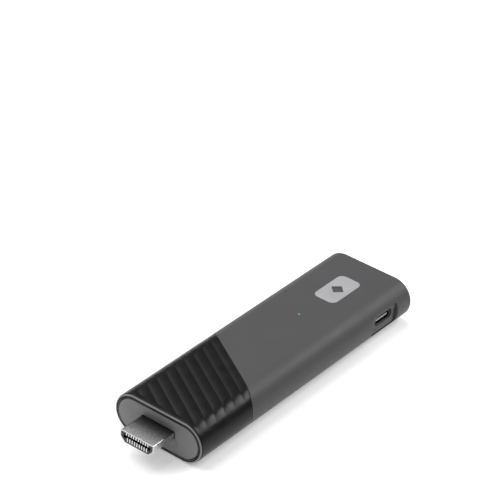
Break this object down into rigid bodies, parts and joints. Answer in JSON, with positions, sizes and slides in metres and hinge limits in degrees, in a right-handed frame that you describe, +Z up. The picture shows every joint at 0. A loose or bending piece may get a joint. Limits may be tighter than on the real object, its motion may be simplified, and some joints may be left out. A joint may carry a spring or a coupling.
{
  "type": "streaming media player",
  "caption": "Stick-form streaming media player: round-sided grey housing, ribbed black front sleeve, HDMI plug, side USB-C socket, press button, electronics.",
  "frame": {"origin": "middle of the whole stick with its plug, on the underside the housing rests on", "axes": "+X from the HDMI plug to the closed end, +Y to the long side with the reset button, +Z up through the badge"},
  "size_m": [0.1292, 0.0366, 0.0153],
  "materials": {
    "housing_grey": "fine matte texture",
    "sleeve_black": "glossy, moulded ribs",
    "end_grey": "smooth satin",
    "badge_silver": "satin silver-grey",
    "light_guide": "frosted, lit green from below",
    "button_grey": "fine matte texture",
    "label_film": "blank satin film",
    "carrier_black": "plain moulded",
    "screw_steel": "bright zinc",
    "film_amber": "clear amber film",
    "board_green": "solder mask",
    "chip_black": "moulded epoxy",
    "can_steel": "tinned",
    "gap_pad": "soft silicone",
    "spreader_aluminium": "bead-blasted",
    "ferrite_grey": "pressed ferrite",
    "capacitor_tan": "fired ceramic",
    "resistor_black": "glazed",
    "contact_gold": "gold-plated",
    "contact_tin": "bright tin plating",
    "led_white": "diffusing resin",
    "plug_nickel": "bright nickel plating",
    "insulator_black": "glass-filled polymer",
    "socket_steel": "drawn and plated",
    "plunger_cream": "plain moulded"
  },
  "bodies": {
    "stick": {"rear_housing": "housing_grey", "ribbed_sleeve": "sleeve_black", "front_cap": "end_grey", "badge_plate": "badge_silver", "light_pipe": "light_guide", "rating_label": "label_film", "board_carrier": "carrier_black", "carrier_screws": "screw_steel", "insulation_film": "film_amber", "main_pcb": "board_green", "soc_chip": "chip_black", "ram_chips": "chip_black", "flash_chip": "chip_black", "power_chip": "chip_black", "wifi_module": "can_steel", "shield_frame": "can_steel", "shield_lid": "can_steel", "soc_thermal_pad": "gap_pad", "lid_thermal_pad": "gap_pad", "heat_spreader": "spreader_aluminium", "crystals": "can_steel", "inductors": "ferrite_grey", "capacitors": "capacitor_tan", "resistors": "resistor_black", "antennas": "contact_gold", "status_led": "led_white", "hdmi_plug_shell": "plug_nickel", "hdmi_insulator": "insulator_black", "hdmi_contacts": "contact_tin", "usb_shell": "socket_steel", "usb_tongue": "insulator_black", "usb_contacts": "contact_gold", "switch_body": "insulator_black", "switch_cover": "can_steel", "port_bezel": "housing_grey"},
    "button": {"reset_button": "button_grey"},
    "plunger": {"switch_plunger": "plunger_cream"}
  },
  "joints": [
    {"name": "button_press", "type": "slide", "parent": "stick", "child": "button", "axis": [0, -1, 0], "range_m": [0, 0.00025], "stiffness_N_per_m": 6400},
    {"name": "plunger_press", "type": "slide", "parent": "stick", "child": "plunger", "axis": [0, -1, 0], "range_m": [0, 0.00025]}
  ],
  "couplings": [
    {"joint": "plunger_press", "follows": "button_press", "ratio": 1}
  ]
}
